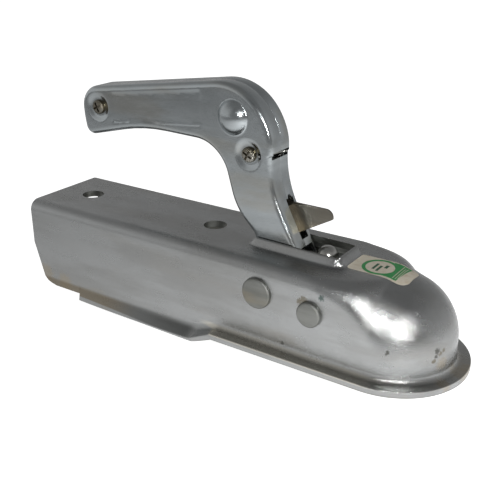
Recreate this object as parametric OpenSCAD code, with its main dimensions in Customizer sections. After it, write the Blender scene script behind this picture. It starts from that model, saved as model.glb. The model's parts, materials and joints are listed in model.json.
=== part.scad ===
// Pressed-steel trailer coupling head for a ball and a square drawbar.
// The origin is the centre of the ball. +X points to the nose, +Y to the left side, +Z up.

/* [Ball and drawbar] */
// Diameter of the ball that the head closes on
ball_d = 50; // [48:0.5:51]
// Radial play between the ball and its seat
ball_gap = 0.5; // [0.3:0.1:0.8]
// Width of the square drawbar
bar_w = 50; // [48:0.5:51]
// Play between the drawbar and the channel, both sides together
bar_gap = 1; // [0.6:0.2:1.6]

/* [Pressed housing] */
// Thickness of the housing sheet
sheet = 3.5; // [3:0.25:4]
// Distance from the ball centre to the rear end
body_rear = 219; // [210:1:235]
// Height of the roof over the underside of the front flange
body_h = 46; // [45:0.5:48]
// Height of the ball centre over the underside of the front flange
ball_h = 14.5; // [13.5:0.5:16]
// Outer bend radius between roof and side wall
roof_r = 6; // [5:0.5:8]
// Length over which the roof bend widens into the dome
shoulder_len = 22; // [18:1:26]
// Width of the front flange beyond the wall
flange_w = 8; // [7:0.5:10]
// Fillet radius between wall and flange
foot_r = 4; // [3:0.25:5]
// Distance from the ball centre to the rear end of the lower lip
lip_rear = 184; // [178:1:190]
// Outward lean of the lip at its rear end, in degrees
lip_lean = 12; // [6:1:20]
// Outward lean of the lip where it meets the flange, in degrees
lip_flare = 58; // [45:1:65]
// Diameter of the two drawbar bolt holes
bolt_d = 12.5; // [10.5:0.5:13]
// Distance between the two bolt holes
bolt_spacing = 90; // [80:1:96]
// Distance from the rear end to the first bolt hole
bolt_inset = 22.5; // [18:0.5:28]

/* [Handle slot] */
// Distance from the ball centre to the front end of the slot
slot_front = 27.5; // [26.5:0.5:29]
// Distance from the ball centre to the rear end of the slot
slot_rear = 77; // [76.7:0.1:78]
// Side play between the handle and the slot
slot_gap = 0.6; // [0.4:0.1:0.8]
// Height of the raised rim along the slot
collar_h = 4; // [3:0.25:4.5]

/* [Handle] */
// Distance of the handle pivot behind the ball centre
handle_back = 60.5; // [60:0.25:61]
// Depth of the handle pivot below the top of the roof
handle_down = 16; // [15.75:0.25:16.5]
// Thickness over both half shells
handle_t = 18; // [16:0.5:19]
// Thickness of the handle sheet
shell_t = 2; // [1.6:0.1:2.4]
// Outer bend radius of the half shells
shell_bend = 3; // [2.8:0.1:3.4]
// Reach of the grip behind the pivot
grip_reach = 130; // [120:1:140]
// Height of the top of the bend over the pivot
crook_h = 99.8; // [99:0.2:104]
// Diameter of the round boss on each shell
boss_d = 20.5; // [18:0.5:22]
// Height of the round boss
boss_h = 4.5; // [3:0.25:5]
// Opening travel of the handle in degrees
handle_travel = 22; // [18:1:22]

/* [Safety catch] */
// Thickness of the catch sheet
catch_t = 1.2; // [1:0.1:1.6]
// Width of the catch web
catch_w = 4.4; // [4:0.1:4.6]
// Diameter of the catch pin
catch_pin_d = 4; // [3.5:0.25:4.5]

/* [Jaw] */
// Distance of the jaw pivot behind the ball centre
jaw_back = 30.5; // [30.25:0.25:31]
// Depth of the jaw pivot below the top of the roof
jaw_down = 18.5; // [18:0.25:18.5]
// Thickness of the jaw where it holds the ball
jaw_t = 5.8; // [5:0.2:6.4]
// Angle that the jaw reaches below the middle of the ball
jaw_reach = 30; // [26:1:32]
// Half the angle that the jaw wraps round the ball
jaw_wrap = 38; // [32:1:40]

/* [Rivets and springs] */
// Shank diameter of the handle rivet
rivet_d = 10; // [9:0.25:10.5]
// Shank diameter of the jaw rivet
jaw_rivet_d = 8; // [7.5:0.25:8.25]
// Head diameter of the handle rivet
head_d = 16; // [15:0.25:17]
// Head diameter of the jaw rivet
jaw_head_d = 12.8; // [12:0.2:13.6]
// Height of both rivet heads
head_h = 3.2; // [2.4:0.1:3.6]
// Radial running clearance on the pivots
run_gap = 0.06; // [0.03:0.01:0.09]
// End play between moving pieces and their spacers
end_gap = 0.3; // [0.2:0.1:0.5]
// Wire diameter of the handle spring
wire_d = 2.5; // [2:0.1:2.6]
// Wire diameter of the jaw spring
jaw_wire_d = 2; // [1.6:0.1:2.2]
// Thread diameter of the two handle screws
screw_d = 5; // [4.5:0.25:5.5]

/* [Hidden] */

flange_z = -ball_h;
roof_z = body_h - ball_h;
wall_y = (bar_w + bar_gap) / 2 + sheet;
seat_r = ball_d / 2 + ball_gap;
dome_r = seat_r + sheet;
slot_w = handle_t + 2 * slot_gap;
// The rim stands on both sides of the slot and slopes down to the roof
rim_land = 0.6;
rim_slope = 2.4;
rim_y = slot_w / 2 + rim_land;
rim_foot_y = rim_y + rim_slope;
// The rim rises at the rear end of the slot and runs out in front of it
rim_rise = 5;
rim_lead = 0.3;
rim_fade = 10;
// The roof meets the dome with this corner radius at the ball axis
shoulder_r = dome_r - 4;
roof_sink = 0.7;
sink_len = 8;
// The side walls change from the channel's width to the dome's between these places
neck_rear = -70;
neck_front = -25;
// Distance over which the shoulder fades into the sphere in front of the axis
fade = 12;
// Straight width of the lip beyond its bend
lip_w = 3.65;
lip_foot_z = flange_z + 2.3;
lip_rear_foot_z = flange_z + 1.3;
flange_rear = -84;
jog_len = 15;
foot_len = foot_r * PI / 2;
wall_bottom = flange_z - 4.9;
rear_step = 0.1;

half_t = handle_t / 2;
inner_t = half_t - shell_t;
handle_at = [-handle_back, 0, roof_z - handle_down];
jaw_at = [-jaw_back, 0, roof_z - jaw_down];
inner_y = wall_y - sheet;
jaw_half = 13;
bush_wall = 2.4;
jaw_bush_wall = 1.4;
hub_r = jaw_rivet_d / 2 + run_gap + jaw_bush_wall + 1.74;
spacer_wall = 2;
lobe_r = 14.5;
// Catch pivot and side of its web, measured from the handle pivot
catch_x = -9;
catch_z = 36;
catch_y = 0.3;
catch_wall = 1.6;
catch_seat = 1.4;
slit_z = 62.2;
screw_places = [[-grip_reach + 12.4, 72.4], [-18.7, 61.3]];
boss_place = [-27.5, 79];
dimple_depth = 1.8;
dimple_r = 5.4;
dimple_rim_r = 8.2;
zinc = [0.72, 0.73, 0.74];
steel = [0.62, 0.62, 0.6];
zinc_dark = [0.6, 0.61, 0.63];

function ease(a, b, x) = let (t = max(0, min(1, (x - a) / (b - a)))) t * t * (3 - 2 * t);
function wrap_index(i, n) = (i + n) % n;

// Housing: half sections of the sheet are lofted along the body, then swept round the ball axis.

function half_width(x) = wall_y + (dome_r - wall_y) * ease(neck_rear, neck_front, x);

function corner_r(x) = roof_r + (shoulder_r - roof_r) * max(0, 1 + x / shoulder_len);

function roof_height(x) = roof_z - roof_sink * pow(max(0, 1 + x / sink_len), 2);

function collar(x) = collar_h * ease(-slot_rear - rim_lead, -slot_rear + rim_rise - rim_lead, x)
    * (1 - ease(-slot_front, -slot_front + rim_fade, x));

function lip_angle(x) = lookup(x, [[-lip_rear - rear_step, 1], [-lip_rear, lip_lean],
    [flange_rear - jog_len, lip_flare], [flange_rear, 90]]);

function lip_width(x) = lookup(x, [[flange_rear - jog_len, lip_w], [flange_rear, flange_w - foot_r]]);

// The rear corner of the side wall is cut back and rounded: distance from the rear end, height of the cut
rear_cut = [[0, 24.9], [6.2, 4.1], [8.5, 1.9], [11.3, 0.8], [15, 0]];

function rear_bottom(x) = wall_bottom + lookup(x + body_rear, rear_cut);

// Height of the row of points in the middle of the side wall
wall_row_z = 19;

function middle_z(x) = wall_row_z * (1 - ease(neck_rear, neck_front, x));

function foot_z(x) = x < -lip_rear ? rear_bottom(x) + foot_len + lip_w
    : lookup(x, [[-lip_rear, lip_rear_foot_z], [flange_rear - jog_len, lip_foot_z],
        [flange_rear, flange_z + sheet + foot_r]]);

// Points of one face of the sheet, from the centre of the roof to the edge of the lip.
// The outer face has depth 0, and the inner face lies one sheet deeper.
function half_section(x, depth) = let (
    w = half_width(x) - depth,
    h = roof_height(x) - depth,
    r = max(corner_r(x) - depth, 2),
    c = collar(x),
    flat = w - r,
    a = lip_angle(x),
    bend = foot_len / (a * PI / 180) + depth,
    zf = foot_z(x),
    l = lip_width(x)
) concat(
    [[0, h + c],
     [min(rim_y, flat * 0.5), h + c],
     [min(rim_y + rim_slope / 3, flat * 0.65), h + c * 0.55],
     [min(rim_foot_y, flat * 0.8), h],
     [flat, h]],
    [for (i = [1:6]) [flat + r * sin(i * 15), h - r + r * cos(i * 15)]],
    [[w, middle_z(x)], [w, zf]],
    [for (i = [1:3]) [w + bend * (1 - cos(a * i / 3)), zf - bend * sin(a * i / 3)]],
    [[w + bend * (1 - cos(a)) + l * sin(a), zf - bend * sin(a) - l * cos(a)]]
);

function reversed(list) = [for (i = [len(list) - 1:-1:0]) list[i]];

function full_section(x) = concat(half_section(x, 0), reversed(half_section(x, sheet)));

section_xs = concat(
    [for (d = [0, 3.1, 6.2, 8.5, 11.3, 15]) d - body_rear],
    [-lip_rear - rear_step],
    [for (i = [0:6]) -lip_rear + (lip_rear + flange_rear - jog_len) * i / 6],
    [for (i = [1:4]) flange_rear - jog_len + jog_len * i / 4],
    [for (d = [-1, 0, 1, 2, 3, 4]) -slot_rear + d],
    [-slot_rear + 22],
    [for (d = [0, 2, 4, 6, 8, 10]) -slot_front + d],
    [-14.5, -11.5, -8.5, -6, -4, -2, 0]
);

// The shoulder's height over the sphere fades out in front of the ball axis
function fade_out(u) = u < fade ? pow(1 - u / fade, 2) : 0;

function meridian(points, r0, angle) = [for (p = points)
    p[1] <= 0 ? p
    : let (
        d = norm(p),
        e = atan2(p[1], p[0]),
        u = r0 * cos(e) * cos(angle),
        rr = r0 + (d - r0) * fade_out(u)
    ) [rr * cos(e), rr * sin(e)]];

fan_step = 9;
fan_angles = [for (a = [90 - fan_step:-fan_step:-90 + fan_step]) a];
n_sections = len(section_xs);
n_fan = len(fan_angles);
n_half = len(half_section(0, 0));
n_full = 2 * n_half;
n_stations = 2 * n_sections + n_fan;

// Station s runs up the left side, round the nose and back down the right side
function station(s) = s < n_sections
    ? let (x = section_xs[s]) [for (p = full_section(x)) [x, p[0], p[1]]]
    : s < n_sections + n_fan
    ? let (
        a = fan_angles[s - n_sections],
        outer = meridian(half_section(0, 0), dome_r, a),
        inner = meridian(half_section(0, sheet), seat_r, a)
    ) [for (p = concat(outer, reversed(inner))) [p[0] * cos(a), p[0] * sin(a), p[1]]]
    : let (x = section_xs[n_stations - 1 - s]) [for (p = full_section(x)) [x, -p[0], p[1]]];

// Both sides share their points on the centre line, and the nose shares one pole
function point_index(s, m) = m == 0 || m == n_full - 1
    ? min(s, n_stations - 1 - s, n_sections - 1) * n_full + m
    : s * n_full + m;

function quad(a, b, c, d) = [for (f = [[a, b, c], [a, c, d]])
    if (f[0] != f[1] && f[1] != f[2] && f[0] != f[2]) f];

// The rear edge joins each outer point to the inner point behind it
function rear_edge(s, m) = quad(point_index(s, m), point_index(s, m + 1),
    point_index(s, n_full - 2 - m), point_index(s, n_full - 1 - m));

module housing_skin() {
    points = [for (s = [0:n_stations - 1]) each station(s)];
    skin = [for (s = [0:n_stations - 2]) for (m = [0:n_full - 2])
        each quad(point_index(s, m), point_index(s, m + 1),
            point_index(s + 1, m + 1), point_index(s + 1, m))];
    left_edge = [for (m = [0:n_half - 2]) each [for (f = rear_edge(0, m)) reversed(f)]];
    right_edge = [for (m = [0:n_half - 2]) each rear_edge(n_stations - 1, m)];
    polyhedron(points, concat(skin, left_edge, right_edge), convexity = 8);
}

slot_corner_r = 2;

module slot_shape() {
    r = slot_corner_r;
    length = slot_rear - slot_front;
    for (x = [-slot_rear + r, -slot_front - r]) {
        for (y = [-1, 1]) {
            translate([x, y * (slot_w / 2 - r)]) circle(r = r, $fn = 24);
        }
    }
    translate([-slot_rear, -slot_w / 2 + r]) square([length, slot_w - 2 * r]);
    translate([-slot_rear + r, -slot_w / 2]) square([length - 2 * r, slot_w]);
}

// Cuts through the roof reach this far to both sides of its outer face
roof_cut = 12;

module housing() {
    color(zinc) difference() {
        housing_skin();
        translate([0, 0, roof_z - roof_cut]) linear_extrude(2 * roof_cut) slot_shape();
        for (i = [0, 1]) {
            translate([-body_rear + bolt_inset + i * bolt_spacing, 0, roof_z - roof_cut])
                cylinder(d = bolt_d, h = 2 * roof_cut, $fn = 64);
        }
        translate(handle_at) rotate([90, 0, 0])
            cylinder(d = rivet_d, h = 4 * wall_y, center = true, $fn = 64);
        translate(jaw_at) rotate([90, 0, 0])
            cylinder(d = jaw_rivet_d, h = 4 * wall_y, center = true, $fn = 64);
    }
}

// Rivets, spacers and bushes lie along Y

module tube_y(r_out, r_in, y0, y1) {
    translate([0, y1, 0]) rotate([90, 0, 0]) linear_extrude(y1 - y0) difference() {
        circle(r = r_out, $fn = 64);
        circle(r = r_in, $fn = 64);
    }
}

module rod_y(r, y0, y1) {
    translate([0, y1, 0]) rotate([90, 0, 0]) cylinder(r = r, h = y1 - y0, $fn = 64);
}

// A flat head with a rounded edge, seated on the wall
head_edge = 0.9;

module rivet_head(r, h) {
    rotate([-90, 0, 0]) rotate_extrude($fn = 64)
        polygon([[0, 0], [r, 0], [r, h - head_edge], [r - head_edge / 3, h - head_edge / 3],
            [r - head_edge, h], [0, h]]);
}

module rivet(at, shank, head) {
    translate(at) {
        rod_y(shank / 2, -wall_y, wall_y);
        for (side = [0, 1]) {
            mirror([0, side, 0]) translate([0, wall_y, 0]) rivet_head(head / 2, head_h);
        }
    }
}

module handle_rivet() {
    color(steel) rivet(handle_at, rivet_d, head_d);
}

module jaw_rivet() {
    color(steel) rivet(jaw_at, jaw_rivet_d, jaw_head_d);
}

module spacer(at, pin_r, y_in, side) {
    color(steel) translate(at) mirror([0, side < 0 ? 1 : 0, 0])
        tube_y(pin_r + run_gap + spacer_wall, pin_r + run_gap, y_in + end_gap, inner_y);
}

module handle_spacer_left() {
    spacer(handle_at, rivet_d / 2, half_t, 1);
}

module handle_spacer_right() {
    spacer(handle_at, rivet_d / 2, half_t, -1);
}

module jaw_spacer_left() {
    spacer(jaw_at, jaw_rivet_d / 2, jaw_half, 1);
}

module jaw_spacer_right() {
    spacer(jaw_at, jaw_rivet_d / 2, jaw_half, -1);
}

// Wires are swept along points that lie mostly in the XZ plane

function unit(v) = v / norm(v);

function wire_ring(path, i, r, sides) = let (
    n = len(path),
    t = unit(path[min(i + 1, n - 1)] - path[max(i - 1, 0)]),
    u = unit(cross(t, [0, 1, 0])),
    v = cross(u, t)
) [for (k = [0:sides - 1]) path[i] + r * (u * cos(360 * k / sides) + v * sin(360 * k / sides))];

module wire(path, r, sides = 8) {
    n = len(path);
    points = [for (i = [0:n - 1]) each wire_ring(path, i, r, sides)];
    faces = [for (i = [0:n - 2]) for (k = [0:sides - 1])
        let (k2 = (k + 1) % sides)
        each [[i * sides + k, (i + 1) * sides + k2, (i + 1) * sides + k],
              [i * sides + k, i * sides + k2, (i + 1) * sides + k2]]];
    first = [for (k = [sides - 1:-1:0]) k];
    last = [for (k = [0:sides - 1]) (n - 1) * sides + k];
    polyhedron(points, concat(faces, [first, last]), convexity = 6);
}

// A coil round the Y axis from angle a0 to a1, measured from +X towards +Z
function coil(r, y0, y1, a0, a1, step) = let (n = ceil(abs(a1 - a0) / step))
    [for (i = [0:n]) let (a = a0 + (a1 - a0) * i / n) [r * cos(a), y0 + (y1 - y0) * i / n, r * sin(a)]];

// Both springs wind round their spacers, and each leg leaves its coil along the tangent.
spring_play = 0.4;
coil_step = 20;
turn_gap = 0.1;
leg_angle = 60;
spring_turns = 4;
lower_leg_len = 12;
upper_leg_len = 17;
spring_side_gap = 1.6;

module handle_spring() {
    r = rivet_d / 2 + run_gap + spacer_wall + wire_d / 2 + spring_play;
    y_in = -half_t - end_gap - wire_d / 2 - spring_side_gap;
    y_out = y_in - spring_turns * (wire_d + turn_gap);
    turns = coil(r, y_in, y_out, -leg_angle, 90 + 360 * (spring_turns - 1), coil_step);
    lower_leg = [[r * cos(leg_angle) - lower_leg_len * sin(leg_angle), y_in,
        -r * sin(leg_angle) - lower_leg_len * cos(leg_angle)]];
    upper_leg = [[-upper_leg_len, y_out, r]];
    color(zinc_dark) translate(handle_at) wire(concat(lower_leg, turns, upper_leg), wire_d / 2);
}

jaw_spring_play = 0.2;
jaw_spring_turns = 3;
jaw_lower_leg_len = 14;
jaw_upper_leg_len = 11;
jaw_spring_side_gap = 0.4;

module jaw_spring() {
    r = jaw_rivet_d / 2 + run_gap + spacer_wall + jaw_wire_d / 2 + jaw_spring_play;
    y_in = jaw_half + end_gap + jaw_wire_d / 2 + jaw_spring_side_gap;
    y_out = y_in + (jaw_spring_turns + 0.25) * (jaw_wire_d + turn_gap);
    turns = coil(r, y_in, y_out, 180, 90 - 360 * jaw_spring_turns, coil_step);
    lower_leg = [[-r, y_in, -jaw_lower_leg_len]];
    upper_leg = [[jaw_upper_leg_len, y_out, r]];
    color(zinc_dark) translate(jaw_at) wire(concat(lower_leg, turns, upper_leg), jaw_wire_d / 2);
}

// Outlines are lists of corners [x, z, radius], counter-clockwise in the XZ plane

function dir(a, b) = unit([b[0] - a[0], b[1] - a[1]]);

function turn(u, v) = atan2(u[0] * v[1] - u[1] * v[0], u[0] * v[0] + u[1] * v[1]);

// Moves every side of the outline inwards by d
function inset(corners, d) = let (n = len(corners))
    [for (i = [0:n - 1]) let (
        u = dir(corners[wrap_index(i - 1, n)], corners[i]),
        v = dir(corners[i], corners[wrap_index(i + 1, n)]),
        a = [-u[1], u[0]],
        b = [-v[1], v[0]],
        s = d / (1 + a * b),
        grow = turn(u, v) > 0 ? -d : d
    ) [corners[i][0] + s * (a[0] + b[0]), corners[i][1] + s * (a[1] + b[1]),
       max(corners[i][2] + grow, 0.2)]];

function arc_steps(angle) = max(2, ceil(abs(angle) / 14));

function rounded(corners) = let (n = len(corners))
    [for (i = [0:n - 1]) let (
        u = dir(corners[wrap_index(i - 1, n)], corners[i]),
        v = dir(corners[i], corners[wrap_index(i + 1, n)]),
        t = turn(u, v),
        s = sign(t),
        r = corners[i][2],
        start = [corners[i][0], corners[i][1]] - u * r * tan(abs(t) / 2),
        centre = start + s * r * [-u[1], u[0]],
        k = arc_steps(t)
    ) each [for (j = [0:k]) let (a = t * j / k)
        centre - s * r * [-u[1] * cos(a) - u[0] * sin(a), u[0] * cos(a) - u[1] * sin(a)]]];

// Handle outline, measured from its pivot
handle_corners = [
    [lobe_r, -lobe_r, lobe_r - 0.5],
    [lobe_r, 8.6, 8],
    [-6.3, 47.7, 55],
    [-4.8, crook_h, 30],
    [-grip_reach - 0.6, crook_h - 17.8, 12.2],
    [-grip_reach + 0.1, crook_h - 33.9, 42],
    [-grip_reach + 2.1, crook_h - 44.7, 5.2],
    [-grip_reach + 43.5, crook_h - 34.5, 115],
    [-36.5, crook_h - 35.7, 20.6],
    [-27.4, 31.9, 33],
    [-lobe_r - 0.7, 20, 6],
    [-lobe_r, -lobe_r, lobe_r - 0.2]
];

// The bent rim of a half shell, as rings of the outline from the seam over the bend and back
module bent_rim() {
    straight = half_t - shell_bend;
    levels = concat(
        [[0, 0], [straight, 0]],
        [for (a = [30, 60]) [straight + shell_bend * sin(a), shell_bend * (1 - cos(a))]],
        [[half_t, shell_bend], [inner_t, shell_bend], [straight, shell_t], [0, shell_t]]
    );
    rings = [for (l = levels) [for (p = rounded(inset(handle_corners, l[1]))) [p[0], -l[0], p[1]]]];
    m = len(rings[0]);
    n = len(rings);
    faces = [for (i = [0:n - 1]) let (i2 = (i + 1) % n)
        for (k = [0:m - 1]) let (k2 = (k + 1) % m)
        each quad(i * m + k, i2 * m + k, i2 * m + k2, i * m + k2)];
    polyhedron([for (ring = rings) each ring], faces, convexity = 6);
}

module tray() {
    bent_rim();
    translate([0, -inner_t, 0]) rotate([90, 0, 0]) linear_extrude(shell_t)
        polygon(rounded(inset(handle_corners, shell_bend)));
}

boss_sphere_r = (pow(boss_d / 2, 2) + pow(boss_h, 2)) / (2 * boss_h);

// The cap of the boss, standing out of the XZ plane on its -Y side and reaching past it by extra
module dome_cap(extra) {
    intersection() {
        translate([0, boss_sphere_r - boss_h, 0]) sphere(r = boss_sphere_r, $fn = 64);
        translate([-boss_d, -boss_h - 1, -boss_d]) cube([2 * boss_d, boss_h + 1 + extra, 2 * boss_d]);
    }
}

// A half shell on the -Y side, with its round boss and the two dimples for the screws
module shell() {
    difference() {
        union() {
            tray();
            translate([boss_place[0], -half_t, boss_place[1]]) dome_cap(shell_t / 2);
            for (p = screw_places) {
                translate([p[0], 0, p[1]])
                    rod_y(dimple_r + shell_t, -half_t + shell_t / 2, -inner_t + dimple_depth);
            }
            translate([catch_x, 0, catch_z])
                rod_y(catch_pin_d / 2 + seat_wall, -inner_t - shell_t / 2, -inner_t + catch_seat);
        }
        translate([boss_place[0], -inner_t, boss_place[1]]) dome_cap(1);
        for (p = screw_places) {
            translate([p[0], -half_t, p[1]]) rotate([-90, 0, 0])
                cylinder(r1 = dimple_rim_r, r2 = dimple_r, h = dimple_depth, $fn = 64);
            translate([p[0], 0, p[1]]) rod_y(screw_d / 2, -half_t - 1, 0);
        }
        translate([catch_x, 0, catch_z]) rod_y(catch_pin_d / 2, -inner_t, 0);
        rod_y(rivet_d / 2 + run_gap + bush_wall, -half_t - 1, 0);
        translate([cam_rivet_place[0], 0, cam_rivet_place[1]]) rod_y(cam_rivet_r, -half_t - 1, 0);
        // The rims are open at the lower end, where the cam and the catch reach out
        translate([-rim_cut, -straight_rim, -rim_cut])
            cube([2 * rim_cut, 2 * straight_rim, rim_cut + rim_low]);
        translate([-rim_cut, -straight_rim, 0])
            cube([rim_cut + catch_x, 2 * straight_rim, rear_rim_low]);
        // The slit across the front wall, for the ends of the catch spring
        translate([slit_x, -half_t - 1, slit_z - slit_h / 2]) cube([rim_cut, half_t + 2, slit_h]);
    }
}

straight_rim = half_t - shell_bend;
rim_cut = 20;
rim_low = 17;
rear_rim_low = 21;
slit_x = -8.4;
slit_h = 1.6;
side_slit_x = -12.4;
side_slit_d = 1.8;
seat_wall = 2.2;
cam_rivet_place = [-7.5, 9.5];
cam_rivet_r = 2.5;
catch_slot_low = 20.2;
catch_slot_high = 39.5;
catch_slot_x = -6;
catch_side_gap = 1.3;
catch_front_gap = 0.4;
catch_stop_d = 3.2;

// The slot in the front wall for the catch lies across the seam
module catch_slot() {
    translate([catch_slot_x, catch_y - catch_side_gap, catch_slot_low])
        cube([rim_cut - catch_slot_x, catch_w + catch_side_gap + catch_front_gap,
            catch_slot_high - catch_slot_low]);
}

module handle_shell_right() {
    color(zinc) translate(handle_at) difference() {
        shell();
        catch_slot();
        // A small hole in the side face, for the end of the catch spring
        translate([side_slit_x, 0, slit_z - slit_h / 4]) rod_y(side_slit_d / 2, -half_t - 1, 0);
    }
}

module handle_shell_left() {
    color(zinc) translate(handle_at) difference() {
        mirror([0, 1, 0]) shell();
        catch_slot();
        translate([slit_x, catch_y + catch_w / 2, catch_slot_high]) rotate([0, 90, 0])
            cylinder(d = catch_stop_d, h = rim_cut, $fn = 32);
    }
}

// Pan heads sit in the dimples of the right shell, nuts in those of the left shell

screw_play = 0.05;
screw_head_r = screw_d * 0.92;
screw_head_h = screw_d * 0.54;
nut_h = screw_d * 0.64;
screw_tip = screw_d * 0.08;

// A pan head with a cross recess
module screw_head() {
    r = screw_head_r;
    h = screw_head_h;
    difference() {
        rotate_extrude($fn = 48)
            polygon([[0, 0], [r, 0], [r, h / 3], [0.91 * r, 0.63 * h],
                [0.65 * r, 0.85 * h], [r / 3, 0.96 * h], [0, h]]);
        for (a = [45, 135]) {
            rotate(a) translate([-r / 2, -h / 6, h / 2]) cube([r, h / 3, h]);
        }
    }
}

module handle_screws() {
    head_y = -half_t + dimple_depth;
    color(steel) translate(handle_at) for (p = screw_places) {
        translate([p[0], 0, p[1]]) {
            rod_y(screw_d / 2 - screw_play, head_y - screw_head_h / 5, -head_y + nut_h + screw_tip);
            translate([0, head_y, 0]) rotate([90, 0, 0]) screw_head();
        }
    }
}

module handle_nuts() {
    color(steel) translate(handle_at) for (p = screw_places) {
        translate([p[0], half_t - dimple_depth, p[1]]) rotate([-90, 0, 0]) linear_extrude(nut_h)
            difference() {
                circle(r = screw_head_r, $fn = 6);
                circle(r = screw_d / 2, $fn = 48);
            }
    }
}

module handle_bush() {
    r = rivet_d / 2 + run_gap;
    color(steel) translate(handle_at) tube_y(r + bush_wall, r, -half_t, half_t);
}

// The cam locks the jaw with its lower lobe and opens it with its horn
cam_half = 5;
cam_corners = [
    [9, -15.5, 3],
    [14.2, -21.4, 3],
    [18, -17.4, 1.5],
    [12.6, -7, 6],
    [13, 6.6, 5],
    [18.2, 8.2, 1.6],
    [17, 13, 3],
    [8, 12.5, 4],
    [-9, 14.5, 5],
    [-13, 4, 5],
    [-9.5, -9.5, 6]
];

module locking_cam() {
    color(zinc_dark) translate(handle_at) difference() {
        translate([0, cam_half, 0]) rotate([90, 0, 0]) linear_extrude(2 * cam_half)
            polygon(rounded(cam_corners));
        rod_y(rivet_d / 2 + run_gap + bush_wall, -half_t, half_t);
        translate([cam_rivet_place[0], 0, cam_rivet_place[1]]) rod_y(cam_rivet_r, -half_t, half_t);
    }
}

// Its flat heads stay inside the side play between handle and slot
cam_rivet_head_h = 0.3;
cam_rivet_head_r = cam_rivet_r + 1.2;

module cam_rivet() {
    color(steel) translate(handle_at + [cam_rivet_place[0], 0, cam_rivet_place[1]]) {
        rod_y(cam_rivet_r, -half_t, half_t);
        for (side = [0, 1]) {
            mirror([0, side, 0]) translate([0, half_t, 0]) rotate([-90, 0, 0])
                cylinder(r1 = cam_rivet_head_r, r2 = cam_rivet_r, h = cam_rivet_head_h, $fn = 48);
        }
    }
}

pin_end_gap = 0.05;

module catch_pin() {
    color(steel) translate(handle_at + [catch_x, 0, catch_z])
        rod_y(catch_pin_d / 2, -inner_t + pin_end_gap, inner_t - pin_end_gap);
}

// The catch is one bent sheet: a web in the slot, a finger tab in front and a tail inside the neck.
// Its corners are measured from the handle pivot.
catch_corners = [
    [8.4, 24.2, 1],
    [22.5, 32.2, 0.8],
    [22.6, 37, 4.2],
    [2.1, 37, 0.6],
    [-3, 37.2, 1],
    [-6, 39.6, 2],
    [-13.4, 40.2, 4],
    [-12.6, 22, 3],
    [-12.6, 14.8, 0.8],
    [-8, 14.8, 3],
    [1, 22.4, 1],
    [6, 22.4, 0.8]
];
web_recess = 1;

// A point at height z on the front wall of the neck, moved inwards by d
function front_wall(z, d) = let (
    low = handle_corners[1],
    high = handle_corners[2],
    u = dir(low, high),
    t = (z - low[1]) / u[1]
) [low[0] + u[0] * t - u[1] * d, z + u[0] * d];

module safety_catch() {
    r = catch_pin_d / 2 + run_gap;
    y_out = catch_y + catch_w;
    bite = catch_t / 3;
    color(steel) translate(handle_at) difference() {
        union() {
            translate([0, y_out, 0]) rotate([90, 0, 0]) linear_extrude(catch_t)
                polygon(rounded(catch_corners));
            translate([0, y_out - catch_t + bite, 0]) rotate([90, 0, 0])
                linear_extrude(catch_w - catch_t + bite) polygon([
                    front_wall(23.4, web_recess + catch_t), front_wall(23.4, web_recess),
                    front_wall(36, web_recess), front_wall(36, web_recess + catch_t)]);
            translate([catch_x, 0, catch_z])
                rod_y(r + catch_wall, -inner_t + catch_seat + end_gap, y_out - catch_t + bite);
        }
        translate([catch_x, 0, catch_z]) rod_y(r, -half_t, half_t);
    }
}

catch_wire_d = 1;
catch_spring_turns = 2;
catch_spring_play = 0.15;
catch_spring_knee = 14;
catch_spring_neck = 6;
short_leg_len = 6;
// The long leg ends in the slit of the front wall, this far in front of the catch pin
catch_spring_x = [-2.2, 2.7];

module catch_spring() {
    wire_r = catch_wire_d / 2;
    r = catch_pin_d / 2 + run_gap + catch_wall + wire_r + catch_spring_play;
    y0 = -inner_t + catch_seat + end_gap + wire_r + 2 * turn_gap;
    y1 = y0 + (catch_spring_turns + 1) * (catch_wire_d + turn_gap);
    top = slit_z - catch_z;
    turns = coil(r, y0, y1, -180, 360 * catch_spring_turns - 180, coil_step);
    long_leg = [[catch_spring_x[1], y0, top], [catch_spring_x[0], y0, top],
        [catch_spring_x[0], y0, catch_spring_knee], [-r, y0, catch_spring_neck]];
    short_leg = [[-r, y1, -short_leg_len]];
    color(zinc) translate(handle_at + [catch_x, 0, catch_z])
        wire(concat(long_leg, turns, short_leg), wire_r, 6);
}

// The jaw hooks under the rear of the ball. A web joins it to its hub, and an arm rises into the slot.
jaw_corners = [
    [4.5, -22, 3],
    [6.5, -2, 3],
    [3, 9, 6],
    [-3.4, 14, 4],
    [-4.6, 19.4, 2],
    [-10.4, 19.4, 2],
    [-11.6, 14, 4],
    [-9.5, 6, 8],
    [-7.6, -6, 5],
    [-12, -13, 2],
    [-9, -20, 3]
];
nose_place = [-7.5, 17];
nose_r = 5.5;
jaw_web_half = 5;
jaw_rise = 5;

module jaw() {
    color(zinc_dark) difference() {
        union() {
            rotate([0, 0, 180 - jaw_wrap]) rotate_extrude(angle = 2 * jaw_wrap, $fn = 96) jaw_section();
            translate(jaw_at) {
                rod_y(hub_r, -jaw_half, jaw_half);
                translate([0, jaw_web_half, 0]) rotate([90, 0, 0]) linear_extrude(2 * jaw_web_half)
                    polygon(rounded(reversed(jaw_corners)));
                translate([nose_place[0], 0, nose_place[1]]) sphere(r = nose_r, $fn = 48);
            }
        }
        sphere(r = seat_r + 0.2, $fn = 96);
        translate(jaw_at) rod_y(jaw_rivet_d / 2 + run_gap + jaw_bush_wall, -2 * jaw_half, 2 * jaw_half);
    }
}

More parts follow.
